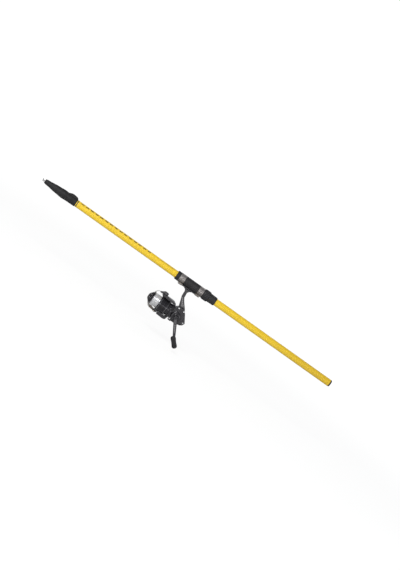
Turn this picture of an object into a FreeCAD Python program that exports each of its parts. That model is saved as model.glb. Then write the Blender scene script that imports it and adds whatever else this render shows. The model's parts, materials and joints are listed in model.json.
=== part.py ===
"""Telescopic fishing rod with a fixed-spool reel, closed for carrying.

Millimetres. The rod's axis is X, with its tip towards -X and its butt end at x = 0. Z is up.
The reel hangs below the rod, and its crank handle is on the -Y side.
"""
import FreeCAD, Part
import math
import os

V = FreeCAD.Vector
ALONG_X = V(1, 0, 0)
ALONG_Y = V(0, 1, 0)
ALONG_Z = V(0, 0, 1)

# --- clearances -------------------------------------------------------------------------
running_gap = 0.05        # radial, a shaft that turns or slides in its bore
seated_gap = 0.02         # radial, pieces that are glued, pressed or screwed together
moving_gap = 0.3          # between faces of pieces that move past each other

# --- rod --------------------------------------------------------------------------------
butt_length = 985.0
butt_radius = 11.5        # the parallel grip, which fits a rod holder
grip_length = 400.0
butt_wall = 1.4
butt_lock_step = 1.6      # how far the bore narrows at the mouth, to lock the next section
lock_length = 90.0
flare_length = 75.0
nest_depth = 30.0         # from the butt end to the bottoms of the nested sections
top_spacing = 18.0        # from one section's top to the next
butt_cap_flange = 5.0
butt_cap_plug = 18.0
butt_pad_thickness = 4.0

# one entry a section: slide gap, flare, body taper, wall at the bottom, wall at the top, lock step
section_shapes = [
    {"gap": 0.35, "flare": 1.35, "taper": 0.95, "low_wall": 1.0, "top_wall": 0.6, "lock": 1.0},
    {"gap": 0.35, "flare": 0.85, "taper": 0.55, "low_wall": 1.25, "top_wall": 1.1, "lock": 0.35},
    {"gap": 0.30, "flare": 0.58, "taper": 0.35, "low_wall": 0.7, "top_wall": 0.5, "lock": 0.5},
    {"gap": 0.25, "flare": 0.41, "taper": 0.45},
]
collar_length = 12.0
collar_wall = 1.1
# one entry a guide: its ring's radius, how far that stands off the section, how far back it is
guide_sizes = [
    {"outer": 4.0, "rise": 5.2, "back": 4.4},
    {"outer": 3.0, "rise": 3.8, "back": 0.6},
    {"outer": 2.3, "rise": 3.3, "back": 0.6},
]
guide_band = 1.0          # radial width of a guide's frame
guide_thickness = 1.6
insert_wall = 0.6
tip_top_reach = 35.0      # from the tip's end to the middle of its ring
tip_ring_radius = 4.2
tip_ring_tilt = 18.0
tip_tube_wall = 0.77

# --- tip cap ----------------------------------------------------------------------------
cap_overlap = 17.0        # over the butt section's mouth
cap_wall = 1.2
cap_length = 117.0
cap_hump_rise = 6.85      # above the butt section's mouth
cap_hump_width = 11.2
cap_channel_width = 9.0

# --- reel seat, from its front ring to its tail -----------------------------------------
seat_front = -587.0
front_ring_length = 11.6
front_hood_length = 20.2
barrel_length = 50.5      # the bare barrel between the hoods
rear_hood_length = 19.2
nut_length = 21.7
tail_length = 24.8
seat_wall = 3.7           # the barrel's; the seat's other radii follow from the butt's
pocket_width = 16.6
pocket_wall = 1.25
nut_grooves = 16
nut_thread_length = 10.0

# --- reel -------------------------------------------------------------------------------
reel_x = -532.0           # the face where the rotor meets the gear case
shaft_z = -103.0          # main shaft's height
foot_front = -32.0        # reel lengths along X are counted from reel_x
foot_back = 36.0
foot_width = 13.0
foot_thickness = 3.3
stem_width = 10.0
case_near = -12.0         # the side cover's seat
case_far = 11.5
case_wall = 1.6
cover_thickness = 2.4

main_shaft_radius = 1.8
drive_drop = 5.5          # drive shaft below the main shaft
drive_clearance = 4.14    # from the mesh to the rotor's face
drive_shaft_radius = 3.0
handle_rod_radius = 1.95
drive_teeth = 38
pinion_teeth = 9
pinion_pitch_radius = 3.4
pinion_sleeve_radius = 3.0
crosswind_module = 0.75
crosswind_small_teeth = 12
crosswind_large_teeth = 24
crosswind_y = -9.0
crosswind_thickness = 2.5
crank_radius = 7.5        # half the spool's stroke
bearing_outer = 6.0
bearing_length = 4.0

rotor_drum_wall = 2.3
rotor_disc_length = 7.4
rotor_gap = 0.6           # between the rotor and the gear case
pivot_x = -46.0           # the bail's pivots
top_arm_depth = 7.7
low_arm_depth = 3.0
bail_lean = 58.0          # closed, from straight ahead towards the far side
bail_reach = 56.0
wire_radius = 1.1
roller_radius = 3.8
roller_length = 7.0
roller_start = 32.4

skirt_radius = 24.0
skirt_wall = 1.5
skirt_back = -17.8
spool_front = -76.0
lip_length = 3.5
winding_back = -49.6
arbor_radius = 14.0
chamber_radius = 12.0
chamber_floor = -62.0

knob_front = -88.4
knob_fins = 8

arm_angle = 59.2          # crank arm below +X
arm_length = 70.0
arm_root_y = -33.5
arm_end_y = -46.5
arm_root_radius = 5.8
arm_end_radius = 4.0
grip_angle = 47.0
grip_length_across = 38.0
grip_width = 17.0
grip_near = -53.0
grip_far = -79.0
spindle_radius = 2.0

# --- sizes that follow from those above --------------------------------------------------
butt_bore = butt_radius - butt_wall
butt_mouth = butt_bore - butt_lock_step
butt_mouth_outer = butt_radius - 0.15
cap_hump_height = butt_mouth_outer + cap_hump_rise

barrel_radius = butt_radius + seat_wall
ring_radius = barrel_radius - 0.4
hood_radius = barrel_radius + 0.3
hood_seat_radius = barrel_radius - 1.2
thread_radius = barrel_radius - 1.9
nut_radius = barrel_radius + 2.0
tail_radius = barrel_radius - 0.6
foot_inner = barrel_radius + 0.15
foot_outer = foot_inner + foot_thickness
pocket_radius = foot_outer + pocket_wall
front_hood_x = seat_front + front_ring_length
barrel_x = front_hood_x + front_hood_length
rear_hood_x = barrel_x + barrel_length
nut_x = rear_hood_x + rear_hood_length
tail_x = nut_x + nut_length
seat_bore = butt_radius + seated_gap

face_radius = pinion_pitch_radius * drive_teeth / pinion_teeth   # the drive gear's tooth ring
drive_x = face_radius + drive_clearance
drive_z = shaft_z - drive_drop

spool_lip_radius = skirt_radius - 1.7
winding_radius = skirt_radius - 3.7
drag_knob_radius = spool_lip_radius - 3.3
rotor_disc_radius = skirt_radius + 1.0
rotor_drum_radius = skirt_radius - 3.5
arm_inner = skirt_radius + 1.3        # the rotor arms' inside, clear of the spool's skirt
top_arm_outer = arm_inner + top_arm_depth
low_arm_outer = arm_inner + low_arm_depth
bail_leg = low_arm_outer + 0.2
top_screw_seat = top_arm_outer + 6.2  # under the head of the bail's upper pivot screw

made = {}


# --- shape helpers ----------------------------------------------------------------------
def side_of(axis):
    """A unit vector square to the axis."""
    side = axis.cross(ALONG_Z)
    if side.Length < 0.1:
        side = axis.cross(ALONG_X)
    return side.normalize()


def lathe(outline, centre=V(0, 0, 0), axis=ALONG_X):
    """Turn an outline of (distance along the axis, radius) points into a solid."""
    side = side_of(axis)
    points = [centre + axis * along + side * radius for along, radius in outline]
    face = Part.Face(Part.makePolygon(points + points[:1]))
    return face.revolve(centre, axis, 360)


def smooth_lathe(curve, rest, centre=V(0, 0, 0), axis=ALONG_X):
    """Turn an outline whose first stretch is one smooth curve and whose rest is straight."""
    side = side_of(axis)
    points = [centre + axis * along + side * radius for along, radius in list(curve) + list(rest)]
    spline = Part.BSplineCurve()
    spline.interpolate(points[:len(curve)])
    lines = Part.makePolygon(points[len(curve) - 1:] + points[:1])
    face = Part.Face(Part.Wire([spline.toShape()] + lines.Edges))
    return face.revolve(centre, axis, 360)


def bar(radius, start, end):
    run = end - start
    return Part.makeCylinder(radius, run.Length, start, run)


def sleeve(outer, inner, start, end):
    """A round tube from start to end."""
    reach = (end - start).normalize()
    return bar(outer, start, end).cut(bar(inner, start - reach, end + reach))


def block(x_low, x_high, y_low, y_high, z_low, z_high):
    return Part.makeBox(x_high - x_low, y_high - y_low, z_high - z_low, V(x_low, y_low, z_low))


def soft_wire(corners, radius):
    """Closed wire through the corners, each rounded by an arc as large as its sides allow."""
    count = len(corners)
    arcs = []
    for i, corner in enumerate(corners):
        back = corners[i - 1] - corner
        ahead = corners[(i + 1) % count] - corner
        half_turn = back.getAngle(ahead) / 2
        reach = min(radius / math.tan(half_turn), 0.45 * min(back.Length, ahead.Length))
        back.normalize()
        ahead.normalize()
        middle = (back + ahead).normalize()
        to_arc = reach / math.cos(half_turn) - reach * math.tan(half_turn)
        arcs.append((corner + back * reach, corner + middle * to_arc, corner + ahead * reach))
    edges = []
    for i, (start, middle, end) in enumerate(arcs):
        edges.append(Part.Arc(start, middle, end).toShape())
        edges.append(Part.makeLine(end, arcs[(i + 1) % count][0]))
    return Part.Wire(edges)


def plate(outline, y_low, y_high, radius):
    """A plate square to Y, from (x, z) corners rounded to the radius."""
    wire = soft_wire([V(x, y_low, z) for x, z in outline], radius)
    return Part.Face(wire).extrude(V(0, y_high - y_low, 0))


def fused(pieces):
    """One solid from pieces that overlap."""
    return pieces[0].multiFuse(pieces[1:]).removeSplitter()


def around(shape, count, centre, axis):
    """Copies of a shape, evenly spaced about an axis."""
    copies = []
    for i in range(count):
        copy = shape.copy()
        copy.rotate(centre, axis, 360 * i / count)
        copies.append(copy)
    return copies


def save(name, shape):
    made[name] = shape
    shape.exportStep("parts/%s.step" % name)


def reel_point(u, y=0.0, z=0.0):
    """A point on the reel: u along X from the rotor's face, z from the main shaft."""
    return V(reel_x + u, y, shaft_z + z)


def reel_lathe(outline):
    return lathe(outline, reel_point(0), ALONG_X)


def drive_lathe(outline):
    """Turned about the drive shaft: outline distances are y values."""
    return lathe(outline, V(reel_x + drive_x, 0, drive_z), ALONG_Y)


# --- rod --------------------------------------------------------------------------------
def make_butt():
    mouth_x = -butt_length
    save("butt_section", lathe([
        (0, butt_radius), (-grip_length, butt_radius), (mouth_x, butt_mouth_outer),
        (mouth_x, butt_mouth), (mouth_x + lock_length, butt_bore), (0, butt_bore)]))
    plug_radius = butt_bore - running_gap
    rim = butt_radius - 0.3
    cap = lathe([
        (-butt_cap_plug, 0), (-butt_cap_plug, plug_radius), (0.1, plug_radius), (0.1, rim),
        (butt_cap_flange - 2, rim), (butt_cap_flange, rim - 2), (butt_cap_flange, 0)])
    coin_slot = block(butt_cap_flange - 1.5, butt_cap_flange + 1, -8, 8, -1, 1)
    save("butt_cap", cap.cut(coin_slot))
    pad_end = V(-butt_cap_plug - 0.1, 0, 0)
    pad_start = pad_end - ALONG_X * butt_pad_thickness
    save("butt_pad", sleeve(butt_bore - moving_gap, 3.0, pad_start, pad_end))


def section_radii():
    """Each nested section's radii, worked out from the mouth that it slides through."""
    mouth = butt_mouth
    radii = []
    for shape in section_shapes:
        body = mouth - shape["gap"]
        entry = {"body": body, "flare": body + shape["flare"], "top": body - shape["taper"]}
        if "lock" in shape:
            entry["low_bore"] = body - shape["low_wall"]
            entry["top_bore"] = entry["top"] - shape["top_wall"]
            entry["mouth"] = entry["top_bore"] - shape["lock"]
            mouth = entry["mouth"]
        radii.append(entry)
    return radii


def make_sections(radii):
    names = ["section_1", "section_2", "section_3", "tip_section"]
    for i, (name, entry) in enumerate(zip(names, radii)):
        top_x = -butt_length - top_spacing * (i + 1)
        bottom_x = -nest_depth
        outside = [(bottom_x, entry["flare"]), (bottom_x - flare_length, entry["body"]),
                   (top_x, entry["top"])]
        if "mouth" in entry:
            inside = [(top_x, entry["mouth"]), (top_x + lock_length, entry["top_bore"]),
                      (bottom_x, entry["low_bore"])]
        else:
            inside = [(top_x, 0), (bottom_x, 0)]
        save(name, lathe(outside + inside))


def guide_insert(radius, centre, axis):
    """The hard ring inside a guide, with its edges eased."""
    inner = radius - insert_wall
    return lathe([
        (-1.1, radius - 0.15), (-0.7, radius), (0.7, radius), (1.1, radius - 0.15),
        (1.1, inner + 0.15), (0.7, inner), (-0.7, inner), (-1.1, inner + 0.15)], centre, axis)


def make_guides(radii):
    """A line guide on the top of each hollow section, on the side away from the reel."""
    half = guide_thickness / 2
    for i, size in enumerate(guide_sizes):
        top_x = -butt_length - top_spacing * (i + 1)
        bore = radii[i]["top"] + collar_length * 0.002 + seated_gap
        collar_end = top_x + collar_length
        collar = sleeve(bore + collar_wall, bore, V(top_x + 0.2, 0, 0), V(collar_end, 0, 0))
        ring_x = collar_end + size["back"] - 1.2
        ring_z = radii[i]["top"] + size["rise"]
        ring_bore = size["outer"] - guide_band
        ring = sleeve(size["outer"], ring_bore, V(ring_x - half, 0, ring_z), V(ring_x + half, 0, ring_z))
        strut_low = bore + 0.4
        strut_high = ring_z - size["outer"] + guide_band * 0.8
        strut_width = size["outer"] * 0.55
        strut = Part.makePolygon([
            V(top_x + 3, -strut_width, strut_low), V(collar_end, -strut_width, strut_low),
            V(ring_x + half, -strut_width, strut_high), V(ring_x - half, -strut_width, strut_high + 0.9),
            V(top_x + 3, -strut_width, strut_low)])
        foot = Part.Face(strut).extrude(V(0, 2 * strut_width, 0))
        foot = foot.cut(bar(ring_bore + 0.1, V(ring_x - 9, 0, ring_z), V(ring_x + 9, 0, ring_z)))
        save("guide_%d" % (i + 1), fused([collar, foot, ring]))
        save("guide_%d_ring" % (i + 1), guide_insert(ring_bore - seated_gap, V(ring_x, 0, ring_z), ALONG_X))


def make_tip_top(radii):
    """The guide at the rod's tip: a tube glued on, three braces and a tilted ring."""
    tip_x = -butt_length - 4 * top_spacing
    bore = radii[3]["top"] + 0.03
    outer = bore + tip_tube_wall
    tube = lathe([(tip_x + 12, bore), (tip_x + 12, outer - 0.3), (tip_x + 10, outer), (tip_x - 2, outer),
                  (tip_x - 3, outer - 0.5), (tip_x - 3, 0), (tip_x - 0.2, 0), (tip_x - 0.2, bore)])
    centre = V(tip_x - tip_top_reach, 0, 0)
    tilt = math.radians(tip_ring_tilt)
    axis = V(math.cos(tilt), 0, math.sin(tilt))
    ring_bore = tip_ring_radius - guide_band
    ring = sleeve(tip_ring_radius, ring_bore, centre - axis * 0.8, centre + axis * 0.8)
    brace_ends = [(V(0, -0.9, 0), V(0.3, -3.9, 0)), (V(0, 0.9, 0), V(0.3, 3.9, 0)),
                  (V(0, 0, -0.9), V(1.2, 0, -3.75))]
    braces = [bar(0.65, V(tip_x - 1.5, 0, 0) + root, centre + end) for root, end in brace_ends]
    save("tip_top", fused([tube, ring] + braces))
    save("tip_top_ring", guide_insert(ring_bore - seated_gap, centre, axis))


def make_tip_cap():
    """Cap over the rod's closed top, with an open front and a hump that the first guide fills."""
    mouth_x = -butt_length + cap_overlap
    front_x = mouth_x - cap_length
    mouth_bore = butt_mouth_outer + moving_gap
    # each entry: how far in front of the mouth, how much wider than the butt section's mouth
    swell = [(0, 1.35), (17, 1.65), (36, 2.25), (47, 3.05), (61, 1.85), (72, 1.05), (86, -0.45),
             (99, -2.35), (111, -3.35), (cap_length, -5.25)]
    outside = [(mouth_x - along, butt_mouth_outer + wider) for along, wider in swell]
    waist = outside[2][1] - cap_wall
    inside = [(front_x, outside[9][1] - 1.3), (outside[8][0], outside[8][1] - cap_wall),
              (outside[7][0], outside[7][1] - cap_wall - 0.2), (outside[6][0], outside[6][1] - cap_wall - 0.2),
              (outside[5][0], outside[5][1] - cap_wall), (outside[3][0], outside[3][1] - cap_wall),
              (mouth_x - 36, waist), (mouth_x - 19, mouth_bore), (mouth_x, mouth_bore)]
    shell = smooth_lathe(outside, inside)
    half = cap_hump_width / 2
    hump_end = mouth_x - 0.5
    hump = plate([(hump_end, 6), (hump_end, cap_hump_height - 5), (mouth_x - 5, cap_hump_height - 1.6),
                  (mouth_x - 17, cap_hump_height), (mouth_x - 24, cap_hump_height - 0.4),
                  (mouth_x - 36, waist + 1), (mouth_x - 36, 6)], -half, half, 3.0)
    bore = lathe([(mouth_x + 1, 0), (mouth_x + 1, mouth_bore), (mouth_x - 19, mouth_bore),
                  (mouth_x - 36, waist), (mouth_x - 38, waist), (mouth_x - 38, 0)])
    slot = cap_channel_width / 2
    channel = block(mouth_x - 23, mouth_x + 1, -slot, slot, 4, cap_hump_height - cap_wall)
    save("tip_cap", shell.fuse(hump.cut(bore)).cut(channel).removeSplitter())


# --- reel seat --------------------------------------------------------------------------
def sector(outer, inner, x_low, x_high, width):
    """The bottom part of a tube, cut to a width across Y."""
    ring = sleeve(outer, inner, V(x_low, 0, 0), V(x_high, 0, 0))
    return ring.common(block(x_low, x_high, -width / 2, width / 2, -outer - 1, -inner * 0.5))


def make_seat():
    edge = 1.3
    save("seat_front_ring", lathe([
        (seat_front, seat_bore), (seat_front, ring_radius - edge), (seat_front + edge, ring_radius),
        (front_hood_x - edge, ring_radius), (front_hood_x - 0.1, ring_radius - 0.4),
        (front_hood_x - 0.1, seat_bore)]))
    barrel_end = rear_hood_x - 0.2
    save("seat_barrel", lathe([
        (front_hood_x, seat_bore), (front_hood_x, hood_seat_radius), (barrel_x, hood_seat_radius),
        (barrel_x, barrel_radius), (barrel_end, barrel_radius), (barrel_end, thread_radius),
        (tail_x, thread_radius), (tail_x, seat_bore)]))
    save("seat_tail", lathe([
        (tail_x + 0.1, seat_bore), (tail_x + 0.1, tail_radius - 0.3), (tail_x + 1, tail_radius),
        (tail_x + tail_length - 2, tail_radius - 0.7), (tail_x + tail_length, tail_radius - 2.0),
        (tail_x + tail_length, seat_bore)]))


def hood(x_low, x_high, bore, open_low, reach):
    """A metal ring with a pocket under it for one end of the reel's foot."""
    edge = 0.9
    ring = lathe([(x_low, bore), (x_low, hood_radius - edge), (x_low + edge, hood_radius),
                  (x_high - edge, hood_radius), (x_high, hood_radius - edge), (x_high, bore)])
    closed = 3.4
    pocket_low = x_low if open_low else x_high - reach - closed
    pocket_high = x_low + reach + closed if open_low else x_high
    pocket = sector(pocket_radius, bore, pocket_low, pocket_high, pocket_width)
    cavity_low = x_low - 1 if open_low else x_high - reach
    cavity_high = x_low + reach if open_low else x_high + 1
    cavity = sector(foot_outer + moving_gap, foot_inner - moving_gap, cavity_low, cavity_high,
                    foot_width + 2 * moving_gap)
    return fused([ring, pocket]).cut(cavity)


def make_hoods():
    front_bore = hood_seat_radius + seated_gap
    save("front_hood", hood(front_hood_x, barrel_x - 0.1, front_bore, False, 10.0))
    save("rear_hood", hood(rear_hood_x, nut_x - 0.2, thread_radius + moving_gap, True, 11.0))
    skirt_bore = tail_radius + moving_gap + 0.05
    thread_bore = thread_radius + running_gap
    thread_end = nut_x + nut_thread_length
    nut = lathe([
        (nut_x + 0.1, thread_bore), (nut_x + 0.1, hood_radius - 0.2), (nut_x + 2.2, nut_radius - 0.5),
        (nut_x + 5, nut_radius), (tail_x - 3, nut_radius), (tail_x - 0.3, nut_radius - 1.2),
        (tail_x - 0.3, skirt_bore), (thread_end, skirt_bore), (thread_end, thread_bore)])
    groove = bar(1.3, V(nut_x + 5.2, 0, nut_radius + 0.55), V(tail_x + 1, 0, nut_radius + 0.55))
    for cut in around(groove, nut_grooves, V(0, 0, 0), ALONG_X):
        nut = nut.cut(cut)
    save("seat_nut", nut)


# --- reel body --------------------------------------------------------------------------
case_outline = [(0.0, 19.5), (9.5, 27.0), (30.5, 28.0), (53.5, -7.5), (50.5, -15.0),
                (42.0, -20.5), (28.0, -24.2), (7.0, -24.2), (0.0, -20.0)]
screw_places = [(12.5, 23.0), (31.0, 22.5), (48.3, -8.8), (6.0, -20.0)]


def case_plate(y_low, y_high, inset):
    """The gear case's outline, drawn in by the inset all round, as a plate square to Y."""
    corners = [V(reel_x + u, y_low, shaft_z + z) for u, z in case_outline]
    wire = soft_wire(corners, 5.0)
    if inset != 0:
        wire = wire.makeOffset2D(-inset)
    return Part.Face(wire).extrude(V(0, y_high - y_low, 0))


def drive_bar(radius, y_low, y_high):
    """A round bar on the drive shaft's axis."""
    return bar(radius, V(reel_x + drive_x, y_low, drive_z), V(reel_x + drive_x, y_high, drive_z))


def make_reel_body():
    foot = sector(foot_outer, foot_inner, reel_x + foot_front, reel_x + foot_back, foot_width)
    top = -barrel_radius - 1.8
    stem = plate([(reel_x + u, z) for u, z in (
        (-17, top), (-8, top - 4.5), (-4.5, top - 10), (-3.2, -44), (6.5, -72), (11, -86), (33, -86),
        (31, -75), (14, -55), (6.5, -44), (5.0, top - 10), (9, top - 4.5), (18, top))],
        -stem_width / 2, stem_width / 2, 4.0)
    stem = stem.cut(bar(foot_inner, reel_point(-40) - V(0, 0, shaft_z), reel_point(40) - V(0, 0, shaft_z)))
    shell = case_plate(case_near, case_far, 0)
    neck = bar(-case_near, reel_point(-18), reel_point(2))
    boss = drive_bar(bearing_outer + 2.6, case_far - 4, case_far + 2.5)
    whole = fused([foot, stem, shell, neck, boss])
    hollow = case_plate(case_near - 1, case_far - 2.0, case_wall)
    front_wall = block(reel_x - 1, reel_x + 1.5, -20, 20, shaft_z - 60, shaft_z + 60)
    whole = whole.cut(hollow.cut(front_wall))
    openings = [
        bar(7.0 + seated_gap, reel_point(-7), reel_point(0.5)),
        bar(10.3, reel_point(-19), reel_point(-7)),
        bar(4.4, reel_point(-2), reel_point(3)),
        drive_bar(bearing_outer + seated_gap, case_far - 3, case_far + 1.2),
        drive_bar(drive_shaft_radius + 1.0, case_far - 3, case_far + 4),
        bar(1.5 + running_gap, reel_point(7, 0, -26), reel_point(7, 0, -20))]
    for opening in openings:
        whole = whole.cut(opening)
    rib = block(reel_x + 8.2, reel_x + 11.2, -5, 2.5, shaft_z, shaft_z + 26)
    rib = rib.cut(bar(3.7, reel_point(7), reel_point(13)))
    inside = case_plate(case_near, case_far, 0.4)
    bosses = []
    for u, z in screw_places:
        bosses.append(bar(3.0, reel_point(u, case_near, z), reel_point(u, case_near + 10, z)).common(inside))
    whole = fused([whole, rib] + bosses)
    for u, z in screw_places:
        whole = whole.cut(bar(1.25, reel_point(u, case_near - 1, z), reel_point(u, case_near + 8, z)))
    save("reel_body", whole)


def make_side_cover():
    outer = case_near - cover_thickness
    panel = case_plate(outer, case_near - 0.05, 0)
    bulge = drive_lathe([(outer + 1, 0), (outer + 1, 17.6), (outer, 17.6), (outer - 2.2, 15.2),
                         (outer - 3.2, 12.0), (outer - 3.2, 8.6), (outer - 4.6, 7.6), (outer - 4.6, 0)])
    stud_x = crosswind_x()
    stud = bar(1.9, V(stud_x, case_near + 6.6, drive_z), V(stud_x, outer + 1, drive_z))
    whole = fused([panel, bulge, stud])
    whole = whole.cut(drive_bar(bearing_outer + seated_gap, -16.5, case_near + 1))
    whole = whole.cut(drive_bar(drive_shaft_radius + moving_gap, -22, case_near))
    screws = []
    for u, z in screw_places:
        whole = whole.cut(bar(2.5, reel_point(u, outer - 6, z), reel_point(u, outer + 1.2, z)))
        whole = whole.cut(bar(1.45, reel_point(u, outer - 6, z), reel_point(u, case_near + 1, z)))
        head = reel_point(u, outer + 0.2, z)
        screw = fused([bar(2.3, head, head + V(0, 0.95, 0)), bar(1.2, head, head + V(0, 9.5, 0))])
        for half_x, half_z in ((1.6, 0.3), (0.3, 1.6)):
            screw = screw.cut(block(head.x - half_x, head.x + half_x, head.y - 0.1, head.y + 0.5,
                                    head.z - half_z, head.z + half_z))
        screws.append(screw)
    save("side_cover", whole)
    save("cover_screws", Part.makeCompound(screws))


def make_rear_guard():
    """Trim strip over the gear case's rear edge."""
    outline = [(37.5, 19.5), (55.2, -7.6), (51.8, -16.2), (42.6, -22.2), (41.0, -19.0),
               (49.0, -13.6), (51.6, -7.6), (35.6, 17.2)]
    strip = plate([(reel_x + u, shaft_z + z) for u, z in outline], -6.5, 6.5, 1.2)
    save("rear_guard", strip.cut(case_plate(-20, 20, -0.1)))


def make_bearings():
    inner = drive_shaft_radius + running_gap
    rings = []
    for y_low in (-16.0, case_far - 2.9):
        y_high = y_low + bearing_length
        rings.append(drive_lathe([
            (y_low, inner), (y_low, bearing_outer), (y_high, bearing_outer), (y_high, inner)]))
    save("drive_bearings", Part.makeCompound(rings))
    journal = pinion_sleeve_radius + running_gap
    save("pinion_bearing", sleeve(7.0, journal, reel_point(-6.5), reel_point(-1.5)))
    save("pinion_rear_bush", sleeve(3.65, 2.4 + running_gap, reel_point(8.2), reel_point(11.2)))
    clutch_start = reel_point(-17.5)
    clutch_end = reel_point(-8.0)
    save("clutch_shell", sleeve(10.25, 6.0 + running_gap, clutch_start, clutch_end))
    save("clutch_core", sleeve(6.0, pinion_sleeve_radius + seated_gap, clutch_start, clutch_end))


# --- gear train -------------------------------------------------------------------------
def pinion_tooth_outline():
    """Cross-section of the pinion's teeth: a space points along +Y, so that the drive gear's
    tooth stands in it at rest."""
    outer = pinion_pitch_radius + 0.55
    root = pinion_pitch_radius - 0.8
    pitch = 360 / pinion_teeth
    points = []
    for i in range(pinion_teeth):
        middle = (i + 0.5) * pitch
        for radius, offset in ((root, -0.33), (outer, -0.12), (outer, 0.12), (root, 0.33)):
            angle = math.radians(middle + offset * pitch)
            points.append((radius * math.cos(angle), radius * math.sin(angle)))
    return points


def make_pinion():
    outline = [reel_point(1.6, y, z) for y, z in pinion_tooth_outline()]
    teeth = Part.Face(Part.makePolygon(outline + outline[:1])).extrude(V(6.0, 0, 0))
    tube = bar(pinion_sleeve_radius, reel_point(-33.5), reel_point(1.7))
    journal = bar(2.4, reel_point(7.5), reel_point(11.4))
    bore = bar(main_shaft_radius + running_gap, reel_point(-40), reel_point(20))
    save("pinion_gear", fused([teeth, tube, journal]).cut(bore))


def face_tooth():
    """One tooth of the drive gear, standing in the pinion's space: parallel to X at the mesh."""
    inner_x = math.sqrt((face_radius - 0.06) ** 2 - drive_drop ** 2)
    outer_x = math.sqrt((face_radius + 1.74) ** 2 - drive_drop ** 2)
    root_y = pinion_pitch_radius + 0.9
    tip_y = pinion_pitch_radius - 0.45
    root_half = 0.62
    tip_half = 0.28
    start = V(reel_x + drive_x - outer_x, 0, shaft_z)
    points = [start + V(0, root_y, root_half), start + V(0, tip_y, tip_half),
              start + V(0, tip_y, -tip_half), start + V(0, root_y, -root_half)]
    return Part.Face(Part.makePolygon(points + points[:1])).extrude(V(outer_x - inner_x, 0, 0))


def make_drive_gear():
    disc_y = pinion_pitch_radius + 0.8
    disc_radius = face_radius + 2.04
    hub_y = case_far - 3.2
    disc = drive_lathe([(disc_y, 0), (disc_y, disc_radius), (disc_y + 1.8, disc_radius), (disc_y + 2.6, 9.0),
                        (hub_y, 5.0), (hub_y, 0)])
    shaft = drive_bar(drive_shaft_radius, -19.0, case_far + 1.1)
    centre = V(reel_x + drive_x, 0, drive_z)
    teeth = around(face_tooth(), drive_teeth, centre, ALONG_Y)
    whole = fused([disc, shaft] + teeth)
    whole = whole.cut(drive_bar(handle_rod_radius + seated_gap, -25, 20))
    hole_start = centre + V(9.4, 0, 0)
    for hole in around(bar(2.4, hole_start, hole_start + V(0, 12, 0)), 6, centre, ALONG_Y):
        whole = whole.cut(hole)
    save("drive_gear", whole)


def spur_outline(teeth, module, first_angle):
    """Points of a spur gear's cross-section as (x, z), with a tooth at the first angle."""
    pitch_radius = teeth * module / 2
    outer = pitch_radius + module * 0.85
    root = pitch_radius - module * 1.1
    pitch = 360 / teeth
    points = []
    for i in range(teeth):
        for radius, offset in ((root, -0.36), (outer, -0.12), (outer, 0.12), (root, 0.36)):
            angle = math.radians(first_angle + (i + offset) * pitch)
            points.append((radius * math.cos(angle), radius * math.sin(angle)))
    return points


def spur_gear(teeth, x, bore, first_angle):
    outline = [V(x + a, crosswind_y, drive_z + b)
               for a, b in spur_outline(teeth, crosswind_module, first_angle)]
    gear = Part.Face(Part.makePolygon(outline + outline[:1])).extrude(V(0, crosswind_thickness, 0))
    return gear.cut(bar(bore, V(x, crosswind_y - 1, drive_z), V(x, crosswind_y + 9, drive_z)))


def crosswind_x():
    """Where the crosswind gear's axis is along X, in mesh with its pinion."""
    spacing = crosswind_module * (crosswind_small_teeth + crosswind_large_teeth) / 2
    return reel_x + drive_x + spacing


def make_crosswind():
    """Gear, crank pin and slider that carry the spool to and fro."""
    large_x = crosswind_x()
    small_bore = drive_shaft_radius + seated_gap
    save("crosswind_pinion", spur_gear(crosswind_small_teeth, reel_x + drive_x, small_bore, 0.0))
    half_pitch = 180 / crosswind_large_teeth
    large = spur_gear(crosswind_large_teeth, large_x, 1.9 + running_gap, 180.0 + half_pitch)
    face_y = crosswind_y + crosswind_thickness
    pin_z = drive_z - crank_radius
    slider_near = -4.0
    pin = bar(1.2, V(large_x, face_y - 1, pin_z), V(large_x, slider_near - 0.4, pin_z))
    save("crosswind_gear", large.fuse(pin))
    half = 2.4
    slider = plate([(large_x - half, shaft_z + 3.6), (large_x + half, shaft_z + 3.6),
                    (large_x + half, pin_z - 3), (large_x - half, pin_z - 3)], slider_near, 2.5, 1.0)
    slot = block(large_x - 1.35, large_x + 1.35, -5, -1.6, pin_z - 1.5, drive_z + 2)
    shaft_hole = bar(main_shaft_radius, V(large_x - 9, 0, shaft_z), V(large_x + 9, 0, shaft_z))
    save("crosswind_slider", slider.cut(slot).cut(shaft_hole))


def make_main_shaft():
    shaft_end = V(crosswind_x() + 2.4, 0, shaft_z)
    save("main_shaft", bar(main_shaft_radius, reel_point(-84.0), shaft_end))
    bore = main_shaft_radius + seated_gap
    save("spool_support", sleeve(5.2, bore, reel_point(-47.2), reel_point(-45.4)))


# --- rotor and bail ---------------------------------------------------------------------
def in_bail_plane(reach, height, sideways=0.0):
    """A point of the bail: reach from the pivot line, height from the main shaft."""
    angle = math.radians(bail_lean)
    ahead = V(-math.cos(angle), math.sin(angle), 0)
    across = V(math.sin(angle), math.cos(angle), 0)
    return reel_point(pivot_x, 0, height) + ahead * reach + across * sideways


def pivot_bar(radius, low, high):
    """A round bar on the bail's pivot line, between two heights from the main shaft."""
    return bar(radius, reel_point(pivot_x, 0, low), reel_point(pivot_x, 0, high))


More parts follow.
